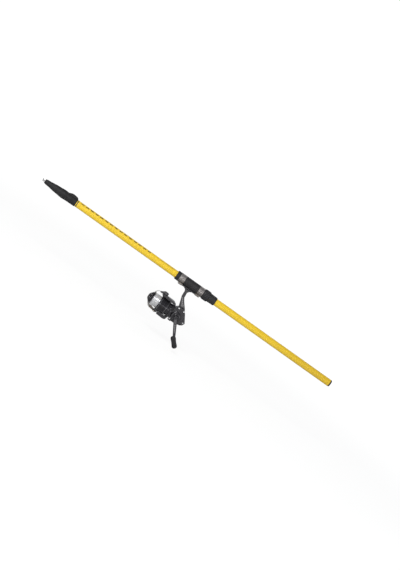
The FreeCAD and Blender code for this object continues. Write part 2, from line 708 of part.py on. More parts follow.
def make_rotor():
    back = -rotor_gap
    disc_front = back - rotor_disc_length
    inside = rotor_drum_radius - rotor_drum_wall
    bore = pinion_sleeve_radius + seated_gap
    arm_root = rotor_drum_radius - 0.5
    arm_front = -55
    drum = reel_lathe([
        (back, rotor_disc_radius - 1.5), (back - 1.8, rotor_disc_radius), (disc_front, rotor_disc_radius),
        (disc_front - 1.0, rotor_drum_radius), (-28.5, rotor_drum_radius - 0.3),
        (-30.0, rotor_drum_radius - 2), (-30.0, bore), (-21.0, bore), (-21.0, 7.5), (-27.0, 9.0),
        (-27.0, inside), (-9.0, inside), (-7.0, 13.4), (back, 13.4)])
    top_ring = reel_lathe([
        (back - 1.0, arm_root), (back - 2.0, top_arm_outer - 6), (-12, top_arm_outer - 0.8),
        (-34, top_arm_outer), (arm_front, top_arm_outer), (arm_front, arm_inner), (disc_front, arm_inner),
        (disc_front + 1, arm_root)])
    low_ring = reel_lathe([
        (back - 1.0, arm_root), (back - 3.0, low_arm_outer + 3.7), (-8, low_arm_outer + 6.2),
        (-14, low_arm_outer + 6.7), (-36, low_arm_outer + 5.5), (-37.5, low_arm_outer),
        (arm_front, low_arm_outer), (arm_front, arm_inner), (disc_front, arm_inner),
        (disc_front + 1, arm_root)])
    tip_u = pivot_x - 8.0
    plan = [(0, -12.5), (0, 12.5), (-14, 11.5), (-38, 8.4), (tip_u, 7.8), (tip_u, -7.8), (-38, -8.4),
            (-14, -11.5)]
    footprint = Part.Face(soft_wire([V(reel_x + u, y, shaft_z) for u, y in plan], 7.4))
    top_arm = top_ring.common(footprint.extrude(V(0, 0, 60)))
    low_arm = low_ring.common(footprint.extrude(V(0, 0, -60)))
    whole = fused([drum, top_arm, low_arm])
    whole = whole.cut(pivot_bar(1.7, skirt_radius - 4, top_arm_outer + 9))
    whole = whole.cut(pivot_bar(1.7, -low_arm_outer - 9, 4 - skirt_radius))
    save("rotor", whole)
    nut = reel_lathe([(-33.4, bore), (-33.4, 5.6), (-32.6, 6.4), (-30.1, 6.4), (-30.1, bore)])
    flat = block(reel_x - 34, reel_x - 30, 5.5, 9, shaft_z - 9, shaft_z + 9)
    for cut in around(flat, 6, reel_point(0), ALONG_X):
        nut = nut.cut(cut)
    save("rotor_nut", nut)


def make_pivots():
    """The screws that the bail turns on: one in each rotor arm."""
    shank = 1.68
    head = 3.0
    inner = arm_inner + 0.3
    top = fused([pivot_bar(shank, inner, top_screw_seat + 1.2),
                 pivot_bar(head, top_screw_seat, top_screw_seat + 1.2)])
    low_seat = -low_arm_outer - 3.7
    low = fused([pivot_bar(shank, low_seat - 1.0, -inner), pivot_bar(head, low_seat - 1.4, low_seat)])
    save("bail_pivot_screws", Part.makeCompound([top, low]))


def bail_side(outline, half_width, corner):
    """A flat piece in the bail's plane, from (reach, height) corners."""
    corners = [in_bail_plane(reach, height, -half_width) for reach, height in outline]
    width = in_bail_plane(0, 0, 2 * half_width) - in_bail_plane(0, 0)
    return Part.Face(soft_wire(corners, corner)).extrude(width)


def make_bail_holder():
    """The bail's upper end, turning on top of the long rotor arm."""
    low = top_arm_outer + moving_gap
    pivot_bore = 1.7 + running_gap
    recess = 3.0 + moving_gap
    recess_floor = top_screw_seat - moving_gap
    disc = lathe([(low, pivot_bore), (low, 8.2), (low + 4.3, 8.6), (low + 6.3, 7.4), (low + 7.4, 5.2),
                  (low + 7.4, recess), (recess_floor, recess), (recess_floor, pivot_bore)],
                 reel_point(pivot_x), ALONG_Z)
    arm = bail_side([
        (3.4, top_screw_seat), (8.4, top_screw_seat - 0.4), (20, bail_leg + 4.7), (27, bail_leg + 2.2),
        (27, bail_leg - 2.2), (20, bail_leg - 2.1), (13.5, bail_leg), (9.2, low), (3.4, low)], 2.6, 1.5)
    holder = fused([disc, arm]).cut(pivot_bar(pivot_bore, 20, top_screw_seat + 9))
    holder = holder.cut(pivot_bar(recess, recess_floor, top_screw_seat + 9))
    wire_bore = wire_radius + seated_gap
    wire_hole = bar(wire_bore, in_bail_plane(19, bail_leg), in_bail_plane(29, bail_leg))
    save("bail_holder", holder.cut(wire_hole))


def make_bail_arm():
    """The bail's lower end, which carries the line roller."""
    face = -low_arm_outer - moving_gap
    outside = face - 3.0
    boss = pivot_bar(7.0, outside, face)
    arm = bail_side([
        (0, face), (9.0, face), (12.0, 2.9 - bail_leg), (31.9, 4.6 - bail_leg), (31.9, -4.6 - bail_leg),
        (24, -4.1 - bail_leg), (6, outside), (0, outside)], 2.8, 1.2)
    whole = fused([boss, arm]).cut(pivot_bar(1.7 + running_gap, -50, -20))
    whole = whole.cut(pivot_bar(3.0 + moving_gap, -50, outside - 0.1))
    spindle_hole = bar(1.25, in_bail_plane(26, -bail_leg), in_bail_plane(33, -bail_leg))
    save("bail_arm", whole.cut(spindle_hole))


def make_bail_wire():
    """The wire from the holder round to the cone beside the line roller."""
    ahead = (in_bail_plane(1, 0) - in_bail_plane(0, 0)).normalize()
    cone_start = roller_start + roller_length + 0.3
    low_radius = 12.5
    low_start = bail_reach - low_radius
    top_start = 27.6
    top_radius = bail_reach - top_start
    half_sine = math.sqrt(0.5)
    low_bend = Part.Arc(
        in_bail_plane(low_start, -bail_leg),
        in_bail_plane(low_start + low_radius * half_sine, -bail_leg + low_radius * (1 - half_sine)),
        in_bail_plane(bail_reach, -bail_leg + low_radius))
    top_bend = Part.Arc(
        in_bail_plane(bail_reach, bail_leg - top_radius),
        in_bail_plane(top_start + top_radius * half_sine, bail_leg - top_radius * (1 - half_sine)),
        in_bail_plane(top_start, bail_leg))
    path = Part.Wire([
        Part.makeLine(in_bail_plane(cone_start, -bail_leg), in_bail_plane(low_start, -bail_leg)),
        low_bend.toShape(),
        Part.makeLine(low_bend.EndPoint, top_bend.StartPoint),
        top_bend.toShape(),
        Part.makeLine(in_bail_plane(top_start, bail_leg), in_bail_plane(20, bail_leg))])
    section = Part.Wire(Part.makeCircle(wire_radius, in_bail_plane(cone_start, -bail_leg), ahead))
    wire = path.makePipeShell([section], True, False)
    cone = lathe([(0, 1.2 + seated_gap), (0, 3.4), (1.0, 3.6), (2.4, 3.0), (6.0, wire_radius + 0.1), (6.0, 0),
                  (2.8, 0), (2.8, 1.2 + seated_gap)], in_bail_plane(cone_start, -bail_leg), ahead)
    clear = bar(3.0, in_bail_plane(cone_start - 1, -bail_leg), in_bail_plane(cone_start + 4, -bail_leg))
    save("bail_wire", fused([wire.cut(clear), cone]))


def make_line_roller():
    ahead = (in_bail_plane(1, 0) - in_bail_plane(0, 0)).normalize()
    end = roller_start + roller_length
    save("roller_spindle", bar(1.2, in_bail_plane(26.5, -bail_leg), in_bail_plane(end + 2.6, -bail_leg)))
    bore = 1.2 + running_gap
    waist = roller_radius - 0.9
    save("line_roller", lathe([
        (0, bore), (0, roller_radius), (1.2, roller_radius), (2.6, waist), (roller_length - 2.6, waist),
        (roller_length - 1.2, roller_radius), (roller_length, roller_radius), (roller_length, bore)],
        in_bail_plane(roller_start, -bail_leg), ahead))


# --- spool ------------------------------------------------------------------------------
def make_spool():
    bore = main_shaft_radius + running_gap
    skirt_inner = skirt_radius - skirt_wall
    flange_back = winding_back + 2.2
    flange_front = winding_back - 2.2
    lip_back = spool_front + lip_length
    floor_back = chamber_floor + 2.4
    core = arbor_radius - 2
    save("spool", reel_lathe([
        (spool_front, chamber_radius), (spool_front, spool_lip_radius - 1.6),
        (spool_front + 1.2, spool_lip_radius), (lip_back - 0.6, spool_lip_radius),
        (lip_back, spool_lip_radius - 1.5), (lip_back, arbor_radius), (winding_back, arbor_radius),
        (winding_back, skirt_radius - 0.8), (winding_back + 0.8, skirt_radius),
        (skirt_back - 0.8, skirt_radius), (skirt_back, skirt_radius - 0.5), (skirt_back, skirt_inner),
        (flange_back, skirt_inner), (flange_back, bore), (flange_front, bore), (flange_front, core),
        (floor_back, core), (floor_back, bore), (chamber_floor, bore), (chamber_floor, chamber_radius)]))
    front = lip_back + 0.1
    back = winding_back - 0.1
    inner = arbor_radius + seated_gap
    save("line_winding", reel_lathe([
        (front, inner), (front, winding_radius - 0.6), (front + 1.5, winding_radius),
        (back - 1.5, winding_radius), (back, winding_radius - 0.6), (back, inner)]))
    clip = bar(2.6, reel_point(-40, -skirt_radius + 0.2), reel_point(-40, -skirt_radius - 0.5))
    save("line_clip", clip.cut(bar(skirt_radius + 0.02, reel_point(-50), reel_point(-30))))
    washers = []
    for i in range(3):
        start = chamber_floor - 0.1 - i * 1.4
        washers.append(sleeve(chamber_radius - 0.4, bore + 0.4, reel_point(start - 1.2), reel_point(start)))
    save("drag_washers", Part.makeCompound(washers))
    ring = sleeve(chamber_radius - 0.05, chamber_radius - 1.2, reel_point(-67.4), reel_point(-66.6))
    gap = block(reel_x - 68, reel_x - 66, -2, 2, shaft_z + 5, shaft_z + 20)
    save("washer_retainer", ring.cut(gap))


def make_drag_knob():
    """Cone of fins on a flat disc, in front of the spool's lip."""
    back = spool_front - moving_gap
    bore = main_shaft_radius + running_gap
    rim = drag_knob_radius
    knob = reel_lathe([
        (-70.8, bore), (-70.8, 6.5), (back, 7.5), (back, rim - 1.0), (back - 0.8, rim), (back - 1.8, rim),
        (-81.6, rim - 3.6), (-85.2, rim - 7.6), (-87.4, 8.2), (knob_front, 6.4), (knob_front, 0),
        (-84.3, 0), (-84.3, bore)])
    scoop = bar(3.7, reel_point(back - 2.2, 0, rim - 3.6), reel_point(knob_front - 1, 0, rim - 5.4))
    for cut in around(scoop, knob_fins, reel_point(0), ALONG_X):
        knob = knob.cut(cut)
    save("drag_knob", knob)


# --- handle -----------------------------------------------------------------------------
def crank_point(reach, y, sideways=0.0):
    """A point of the crank arm: reach from the drive shaft, sideways across the arm."""
    angle = math.radians(arm_angle)
    ahead = V(math.cos(angle), 0, -math.sin(angle))
    across = V(math.sin(angle), 0, math.cos(angle))
    return V(reel_x + drive_x, y, drive_z) + ahead * reach + across * sideways


def arm_outline():
    """The crank arm seen square on: two round ends joined by straight tapering edges."""
    slope = math.degrees(math.asin((arm_root_radius - arm_end_radius) / arm_length))
    points = []
    for reach, radius, first, sweep in ((0, arm_root_radius, 90 - slope, 180 + 2 * slope),
                                        (arm_length, arm_end_radius, slope - 90, 180 - 2 * slope)):
        for i in range(3):
            angle = math.radians(first + sweep * i / 2)
            points.append(crank_point(reach + radius * math.cos(angle), 0, radius * math.sin(angle)))
    root_arc = Part.Arc(points[0], points[1], points[2]).toShape()
    end_arc = Part.Arc(points[3], points[4], points[5]).toShape()
    low_edge = Part.makeLine(points[2], points[3])
    top_edge = Part.makeLine(points[5], points[0])
    return Part.Wire([root_arc, low_edge, end_arc, top_edge])


def make_handle_arm():
    rise = arm_end_y - arm_root_y
    bend_y = arm_root_y + 0.18 * rise
    far_bend = arm_length - 12
    end = arm_length + 6
    side = [(-8, arm_root_y + 3.0), (7, arm_root_y + 3.0), (20, bend_y + 2.4), (far_bend, arm_end_y + 2.4),
            (end, arm_end_y + 2.0), (end, arm_end_y - 2.0), (far_bend, arm_end_y - 1.8),
            (18, bend_y - 2.4), (5, arm_root_y - 3.6), (-8, arm_root_y - 3.6)]
    corners = [crank_point(reach, y, -9) for reach, y in side]
    width = crank_point(0, 0, 18) - crank_point(0, 0)
    body = Part.Face(soft_wire(corners, 3.0)).extrude(width)
    arm = body.common(Part.Face(arm_outline()).extrude(V(0, -70, 0)))
    arm = arm.cut(drive_bar(handle_rod_radius + seated_gap, arm_root_y - 2.6, 0))
    spindle_hole = bar(spindle_radius + seated_gap, crank_point(arm_length, -60),
                       crank_point(arm_length, arm_end_y + 1.4))
    save("handle_arm", arm.cut(spindle_hole))


def make_handle():
    """Rod through the drive gear, its cap, the hub, the crank arm and the grip's spindle."""
    save("handle_rod", drive_bar(handle_rod_radius, arm_root_y - 2.5, case_far + 5.0))
    bore = handle_rod_radius + seated_gap
    cap = drive_lathe([
        (case_far + 2.8, bore), (case_far + 2.8, 7.4), (case_far + 6.2, 7.4), (case_far + 7.4, 6.2),
        (case_far + 7.4, 0), (case_far + 5.1, 0), (case_far + 5.1, bore)])
    centre = V(reel_x + drive_x, case_far, drive_z)
    notch = bar(0.8, centre + V(7.8, 0, 0), centre + V(7.8, 9, 0))
    for cut in around(notch, 16, centre, ALONG_Y):
        cap = cap.cut(cut)
    save("handle_screw_cap", cap)
    hub_end = arm_root_y + 3.2
    save("handle_hub", drive_lathe([
        (-19.6, bore), (-19.6, 5.6), (-22.0, 6.4), (-27.4, 5.0), (hub_end + 0.4, 5.2), (hub_end, 5.8),
        (hub_end, bore)]))
    make_handle_arm()
    spindle_end = crank_point(arm_length, grip_far + 3.2)
    spindle = bar(spindle_radius, crank_point(arm_length, arm_end_y + 1.4), spindle_end)
    shoulder = bar(3.4, crank_point(arm_length, arm_end_y - 2.1), crank_point(arm_length, grip_near + 0.4))
    save("knob_spindle", fused([spindle, shoulder]))


def grip_corner(along, across, y):
    """A point of the grip: along its length and across it, from the spindle."""
    angle = math.radians(grip_angle)
    ahead = V(math.cos(angle), 0, -math.sin(angle))
    side = V(math.sin(angle), 0, math.cos(angle))
    return crank_point(arm_length, y) + ahead * along + side * across


def grip_slab(length, width, y_low, y_high, corner):
    """One layer of the grip, its corners rounded."""
    along = length / 2
    across = width / 2
    points = [grip_corner(-along, -across, y_low), grip_corner(along, -across, y_low),
              grip_corner(along, across, y_low), grip_corner(-along, across, y_low)]
    return Part.Face(soft_wire(points, corner)).extrude(V(0, y_high - y_low, 0))


def make_grip():
    bore = spindle_radius + running_gap
    collar_far = grip_near - 9.0
    start = crank_point(arm_length, grip_near)
    collar = lathe([(0, bore), (0, 4.6), (-1.2, 5.4), (-5, 5.8), (-9, 7.4), (-9, bore)], start, ALONG_Y)
    save("knob_collar", collar)
    low = collar_far - 0.05
    slabs = [grip_slab(grip_length_across - 4, grip_width - 3.0, low - 3.0, low, 6.5),
             grip_slab(grip_length_across, grip_width, low - 13.5, low - 2.4, 8.0),
             grip_slab(grip_length_across - 3, grip_width - 2.4, grip_far, low - 13.0, 6.8)]
    grip = fused(slabs)
    hole = bar(bore, crank_point(arm_length, grip_far + 3.0), crank_point(arm_length, grip_near + 1))
    save("handle_grip", grip.cut(hole))


def make_lever():
    """Anti-reverse lever under the gear case, on a pin through its floor."""
    tab = plate([(reel_x + u, shaft_z - 24.2 - drop) for u, drop in (
        (2.5, moving_gap), (14, moving_gap), (14, 3.2), (9, 3.4), (2.5, 2.6))], -3, 3, 1.0)
    pin = bar(1.5, reel_point(7, 0, -25.7), reel_point(7, 0, -21.0))
    save("anti_reverse_lever", fused([tab, pin]))


os.makedirs("parts", exist_ok=True)
rod_radii = section_radii()
make_butt()
make_sections(rod_radii)
make_guides(rod_radii)
make_tip_top(rod_radii)
make_tip_cap()
make_seat()
make_hoods()
make_reel_body()
make_side_cover()
make_rear_guard()
make_bearings()
make_pinion()
make_drive_gear()
make_crosswind()
make_main_shaft()
make_rotor()
make_pivots()
make_bail_holder()
make_bail_arm()
make_bail_wire()
make_line_roller()
make_spool()
make_drag_knob()
make_handle()
make_grip()
make_lever()
for name, shape in sorted(made.items()):
    box = shape.BoundBox
    print("%-20s solids %d  volume %9.1f  valid %s  x %8.1f %8.1f" % (
        name, len(shape.Solids), shape.Volume, shape.isValid(), box.XMin, box.XMax))
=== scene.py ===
import bmesh
import bpy
import json
import math
from mathutils import Matrix, Vector

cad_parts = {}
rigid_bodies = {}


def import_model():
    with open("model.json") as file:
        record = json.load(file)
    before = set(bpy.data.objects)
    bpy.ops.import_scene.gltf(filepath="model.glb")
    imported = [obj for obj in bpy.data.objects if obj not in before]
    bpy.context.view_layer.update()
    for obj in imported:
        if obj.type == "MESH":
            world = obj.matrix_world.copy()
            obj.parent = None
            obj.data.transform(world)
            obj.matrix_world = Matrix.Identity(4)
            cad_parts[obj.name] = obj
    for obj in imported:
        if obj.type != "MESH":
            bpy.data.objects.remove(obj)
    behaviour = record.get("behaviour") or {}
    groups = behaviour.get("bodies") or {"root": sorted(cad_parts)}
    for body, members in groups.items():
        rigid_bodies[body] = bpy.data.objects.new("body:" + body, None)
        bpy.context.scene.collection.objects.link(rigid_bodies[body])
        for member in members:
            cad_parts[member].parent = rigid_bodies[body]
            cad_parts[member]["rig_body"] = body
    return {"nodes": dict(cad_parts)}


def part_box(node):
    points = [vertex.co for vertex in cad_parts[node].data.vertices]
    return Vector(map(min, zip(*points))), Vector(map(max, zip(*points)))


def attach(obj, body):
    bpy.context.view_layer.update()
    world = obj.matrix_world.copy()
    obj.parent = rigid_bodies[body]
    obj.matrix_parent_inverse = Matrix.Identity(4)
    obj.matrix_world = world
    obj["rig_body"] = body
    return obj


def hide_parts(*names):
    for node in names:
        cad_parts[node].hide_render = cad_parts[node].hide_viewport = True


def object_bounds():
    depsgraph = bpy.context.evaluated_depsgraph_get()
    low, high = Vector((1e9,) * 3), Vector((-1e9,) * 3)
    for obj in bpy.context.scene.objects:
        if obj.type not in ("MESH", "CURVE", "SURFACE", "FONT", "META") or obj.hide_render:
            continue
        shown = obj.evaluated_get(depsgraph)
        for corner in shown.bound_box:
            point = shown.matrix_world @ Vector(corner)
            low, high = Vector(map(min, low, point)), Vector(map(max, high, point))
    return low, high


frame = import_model()
cad_bounds = [list(corner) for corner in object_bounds()]

# --- places, all taken from the frame, in metres -----------------------------------------
rotor_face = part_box("side_cover")[0].x            # where the rotor meets the gear case
shaft_height = (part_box("spool")[0].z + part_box("spool")[1].z) / 2
drive_low, drive_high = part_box("drive_bearings")
drive_axis = (drive_low + drive_high) / 2
rod_low, rod_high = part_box("butt_section")
lowest = cad_bounds[0][2]
mm = 0.001

# --- sizes of the pieces made here -----------------------------------------------------------
CRANK_ANGLE = math.radians(59.2)      # slope of the crank arm below the rod's axis
GRIP_LENGTH = 38 * mm
GRIP_WIDTH = 17 * mm
GRIP_ANGLE = math.radians(47.0)
SCALE_PITCH = 18 * mm                 # one bar and one gap of the printed scale
SCALE_SPAN = (-0.955, -0.692)         # where the scale starts and ends along the rod
LINE_SPAN = (-0.655, -0.600)          # the plain printed line beside it
SKIRT_LINES = ((-46.2, 0.5), (-44.9, 0.25), (-21.5, 0.5), (-74.3, 0.5))   # (place, half width), mm


# --- camera, light and floor ---------------------------------------------------------------
VIEW_HEIGHT = 1767 * mm       # how much of the scene the view takes in, at the rod
VIEW_DISTANCE = 6.5
ROLL = math.radians(35.65)    # the rod runs down to the right
TURN = math.radians(6.0)      # seen a little from the tip's side
LIFT = math.radians(6.0)      # and a little from above


def make_camera():
    target = Vector((rod_low.x * 0.5165, 0.0, 15.5 * mm))
    back = Vector((-math.tan(TURN), -1.0, math.tan(LIFT))).normalized()
    along = Vector((math.cos(ROLL), 0.0, math.sin(ROLL)))
    right = (along - back * along.dot(back)).normalized()
    up = back.cross(right)
    data = bpy.data.cameras.new("view")
    camera = bpy.data.objects.new("view", data)
    bpy.context.scene.collection.objects.link(camera)
    data.sensor_width = 36.0
    data.lens = data.sensor_width * VIEW_DISTANCE / VIEW_HEIGHT
    data.clip_end = 50.0
    turn = Matrix((right, up, back)).transposed().to_4x4()
    camera.matrix_world = Matrix.Translation(target + back * VIEW_DISTANCE) @ turn
    bpy.context.scene.camera = camera


def add_lamp(name, place, size, watts):
    data = bpy.data.lights.new(name, "AREA")
    data.shape = "RECTANGLE"
    data.size = size[0]
    data.size_y = size[1]
    data.energy = watts
    lamp = bpy.data.objects.new(name, data)
    bpy.context.scene.collection.objects.link(lamp)
    toward = Vector((-0.5, 0.0, -0.05)) - Vector(place)
    aim = toward.to_track_quat("-Z", "Y").to_matrix().to_4x4()
    lamp.matrix_world = Matrix.Translation(place) @ aim


def make_world():
    world = bpy.data.worlds.new("studio")
    bpy.context.scene.world = world
    world.use_nodes = True
    tree = world.node_tree
    tree.nodes.clear()
    paths = tree.nodes.new("ShaderNodeLightPath")
    light = tree.nodes.new("ShaderNodeBackground")
    light.inputs["Color"].default_value = (0.93, 0.96, 1.0, 1.0)
    light.inputs["Strength"].default_value = 0.30
    pale = tree.nodes.new("ShaderNodeBackground")
    pale.inputs["Color"].default_value = (1.0, 1.0, 1.0, 1.0)
    pale.inputs["Strength"].default_value = 1.06
    mix = tree.nodes.new("ShaderNodeMixShader")
    out = tree.nodes.new("ShaderNodeOutputWorld")
    tree.links.new(paths.outputs["Is Camera Ray"], mix.inputs["Fac"])
    tree.links.new(light.outputs["Background"], mix.inputs[1])
    tree.links.new(pale.outputs["Background"], mix.inputs[2])
    tree.links.new(mix.outputs["Shader"], out.inputs["Surface"])


def make_floor():
    bm = bmesh.new()
    bmesh.ops.create_grid(bm, x_segments=2, y_segments=2, size=9.0)
    bmesh.ops.translate(bm, verts=bm.verts, vec=(0, 0, lowest - 14 * mm))
    mesh = bpy.data.meshes.new("floor")
    bm.to_mesh(mesh)
    bm.free()
    floor = bpy.data.objects.new("floor", mesh)
    bpy.context.scene.collection.objects.link(floor)
    material = bpy.data.materials.new("pale_floor")
    material.use_nodes = True
    tree = material.node_tree
    tree.nodes.clear()
    paper = tree.nodes.new("ShaderNodeBsdfDiffuse")
    paper.inputs["Color"].default_value = (0.86, 0.86, 0.85, 1.0)
    glow = tree.nodes.new("ShaderNodeEmission")
    glow.inputs["Color"].default_value = (1.0, 1.0, 1.0, 1.0)
    glow.inputs["Strength"].default_value = 1.10
    paths = tree.nodes.new("ShaderNodeLightPath")
    place = tree.nodes.new("ShaderNodeTexCoord")
    away = tree.nodes.new("ShaderNodeVectorMath")
    away.operation = "DISTANCE"
    away.inputs[1].default_value = (rod_low.x / 2, 0.0, lowest)
    fade = tree.nodes.new("ShaderNodeMapRange")
    fade.inputs["From Min"].default_value = 0.9
    fade.inputs["From Max"].default_value = 2.6
    fade.inputs["To Min"].default_value = 0.80
    fade.inputs["To Max"].default_value = 1.0
    tree.links.new(place.outputs["Object"], away.inputs[0])
    tree.links.new(away.outputs["Value"], fade.inputs["Value"])
    share = tree.nodes.new("ShaderNodeMath")
    share.operation = "MULTIPLY"
    tree.links.new(fade.outputs["Result"], share.inputs[1])
    mix = tree.nodes.new("ShaderNodeMixShader")
    out = tree.nodes.new("ShaderNodeOutputMaterial")
    tree.links.new(paths.outputs["Is Camera Ray"], share.inputs[0])
    tree.links.new(share.outputs[0], mix.inputs["Fac"])
    tree.links.new(paper.outputs["BSDF"], mix.inputs[1])
    tree.links.new(glow.outputs["Emission"], mix.inputs[2])
    tree.links.new(mix.outputs["Shader"], out.inputs["Surface"])
    mesh.materials.append(material)


# --- materials ---------------------------------------------------------------------------------
class Finish:
    """A material whose colour, roughness and surface vary the way the real finish does."""

    def __init__(self, name, metallic=0.0, coat=0.0, coat_roughness=0.08, specular=0.5):
        self.material = bpy.data.materials.new(name)
        self.material.use_nodes = True
        self.tree = self.material.node_tree
        self.shader = self.tree.nodes["Principled BSDF"]
        self.shader.inputs["Metallic"].default_value = metallic
        self.shader.inputs["Coat Weight"].default_value = coat
        self.shader.inputs["Coat Roughness"].default_value = coat_roughness
        self.shader.inputs["Specular IOR Level"].default_value = specular
        self.place = self.tree.nodes.new("ShaderNodeTexCoord").outputs["Object"]
        self.normal = None

    def link(self, start, end):
        self.tree.links.new(start, end)

    def noise(self, scale, detail=3.0, stretch=(1, 1, 1)):
        mapping = self.tree.nodes.new("ShaderNodeMapping")
        mapping.inputs["Scale"].default_value = stretch
        self.link(self.place, mapping.inputs["Vector"])
        node = self.tree.nodes.new("ShaderNodeTexNoise")
        node.inputs["Scale"].default_value = scale
        node.inputs["Detail"].default_value = detail
        self.link(mapping.outputs["Vector"], node.inputs["Vector"])
        return node.outputs["Fac"]

    def ramp(self, value, stops):
        node = self.tree.nodes.new("ShaderNodeValToRGB")
        elements = node.color_ramp.elements
        while len(elements) < len(stops):
            elements.new(0.5)
        for element, (position, colour) in zip(elements, stops):
            element.position = position
            element.color = (*colour, 1.0)
        self.link(value, node.inputs["Fac"])
        return node.outputs["Color"]

    def spread(self, value, low, high, start=0.3, end=0.7):
        node = self.tree.nodes.new("ShaderNodeMapRange")
        node.inputs["From Min"].default_value = start
        node.inputs["From Max"].default_value = end
        node.inputs["To Min"].default_value = low
        node.inputs["To Max"].default_value = high
        self.link(value, node.inputs["Value"])
        return node.outputs["Result"]

    def mix(self, share, first, second):
        node = self.tree.nodes.new("ShaderNodeMix")
        node.data_type = "RGBA"
        self.link(share, node.inputs["Factor"])
        for value, socket in ((first, node.inputs[6]), (second, node.inputs[7])):
            if isinstance(value, tuple):
                socket.default_value = (*value, 1.0)
            else:
                self.link(value, socket)
        return node.outputs[2]

    def maths(self, operation, *values):
        node = self.tree.nodes.new("ShaderNodeMath")
        node.operation = operation
        for value, socket in zip(values, node.inputs):
            if isinstance(value, (int, float)):
                socket.default_value = value
            else:
                self.link(value, socket)
        return node.outputs[0]

    def between(self, value, low, high):
        above = self.maths("GREATER_THAN", value, low)
        below = self.maths("LESS_THAN", value, high)
        return self.maths("MULTIPLY", above, below)

    def axes(self):
        node = self.tree.nodes.new("ShaderNodeSeparateXYZ")
        self.link(self.place, node.inputs[0])
        return node.outputs

    def colour(self, value):
        self.link(value, self.shader.inputs["Base Color"])

    def roughness(self, value):
        self.link(value, self.shader.inputs["Roughness"])

    def bump(self, height, distance, strength=1.0):
        node = self.tree.nodes.new("ShaderNodeBump")
        node.inputs["Distance"].default_value = distance
        node.inputs["Strength"].default_value = strength
        self.link(height, node.inputs["Height"])
        if self.normal is not None:
            self.link(self.normal, node.inputs["Normal"])
        self.normal = node.outputs["Normal"]
        self.link(self.normal, self.shader.inputs["Normal"])

    def edges(self, radius):
        """How close a point is to a sharp edge, from 0 to 1, for wear and polish there."""
        rounded = self.tree.nodes.new("ShaderNodeBevel")
        rounded.samples = 4
        rounded.inputs["Radius"].default_value = radius
        geometry = self.tree.nodes.new("ShaderNodeNewGeometry")
        dot = self.tree.nodes.new("ShaderNodeVectorMath")
        dot.operation = "DOT_PRODUCT"
        self.link(rounded.outputs["Normal"], dot.inputs[0])
        self.link(geometry.outputs["Normal"], dot.inputs[1])
        return self.spread(dot.outputs["Value"], 1.0, 0.0, 0.80, 0.985)


def rod_finish():
    """Clear-coated yellow paint with a plain black measuring scale along the top."""
    f = Finish("rod_yellow", coat=0.35, coat_roughness=0.12, specular=0.35)
    cloud = f.ramp(f.noise(9.0, 4.0, (0.15, 1, 1)),
                   [(0.25, (0.84, 0.56, 0.022)), (0.75, (0.90, 0.62, 0.034))])
    x, y, z = f.axes()
    # darker, duller yellow towards the butt end, rising from x = -0.30 m to -0.06 m
    far = f.spread(x, 0.0, 1.0, -0.30, -0.06)
    butt_end_duller = f.mix(f.maths("MULTIPLY", far, 0.55), cloud, (0.66, 0.42, 0.02))
    angle = f.maths("ARCTAN2", z, f.maths("MULTIPLY", y, -1.0))
    on_top = f.between(angle, 0.72, 1.02)
    fine_top = f.between(angle, 0.84, 0.92)
    steps = f.maths("FRACT", f.maths("MULTIPLY", x, 1 / SCALE_PITCH))
    bars = f.maths("LESS_THAN", steps, 0.62)
    in_scale = f.between(x, *SCALE_SPAN)
    in_line = f.between(x, *LINE_SPAN)
    scale = f.maths("MULTIPLY", f.maths("MULTIPLY", on_top, bars), in_scale)
    ink = f.maths("MAXIMUM", scale, f.maths("MULTIPLY", fine_top, in_line))
    f.colour(f.mix(ink, butt_end_duller, (0.035, 0.032, 0.03)))
    f.roughness(f.spread(f.noise(60.0, 4.0), 0.30, 0.40))
    f.bump(f.noise(420.0, 2.0, (0.25, 1, 1)), 0.000008, 0.3)
    return f.material


def plain_finish(name, low, high, rough, metallic=0.0, coat=0.0, grain=900.0, depth=0.00003,
                 stretch=(1, 1, 1), wear=None, specular=0.5, blotch=25.0, rounded=0.0005):
    """A finish that drifts between two colours, with a fine grain and, if asked, worn edges."""
    f = Finish(name, metallic=metallic, coat=coat, specular=specular)
    base = f.ramp(f.noise(blotch, 5.0, stretch), [(0.3, low), (0.7, high)])
    if wear is not None:
        patches = f.spread(f.noise(160.0, 4.0), 0.25, 1.0, 0.35, 0.6)
        scuff = f.maths("MULTIPLY", f.edges(rounded), patches)
        base = f.mix(scuff, base, wear)
    f.colour(base)
    f.roughness(f.spread(f.noise(blotch * 5, 4.0, stretch), rough[0], rough[1]))
    f.bump(f.noise(grain, 3.0, stretch), depth, 0.6)
    return f.material


def hood_finish():
    """Warm polished gunmetal with painted shade: browner and darker towards the bottom, in the pockets
    under the rings, lighter on top.
    """
    f = Finish("hood_gunmetal", metallic=0.85, specular=0.4)
    x, y, z = f.axes()
    # painted shade: dark brown at the bottom, under the rings, rising to light grey at the top
    painted_top_light = f.spread(z, 0.0, 1.0, -13.0 * mm, 3.0 * mm)
    base = f.mix(painted_top_light, (0.115, 0.100, 0.082), (0.46, 0.43, 0.42))
    f.colour(f.mix(f.noise(40.0, 4.0, (6, 1, 1)), base, (0.24, 0.22, 0.21)))
    f.roughness(f.spread(f.noise(200.0, 3.0, (9, 1, 1)), 0.30, 0.40))
    f.bump(f.noise(900.0, 2.0, (9, 1, 1)), 0.000006, 0.4)
    return f.material


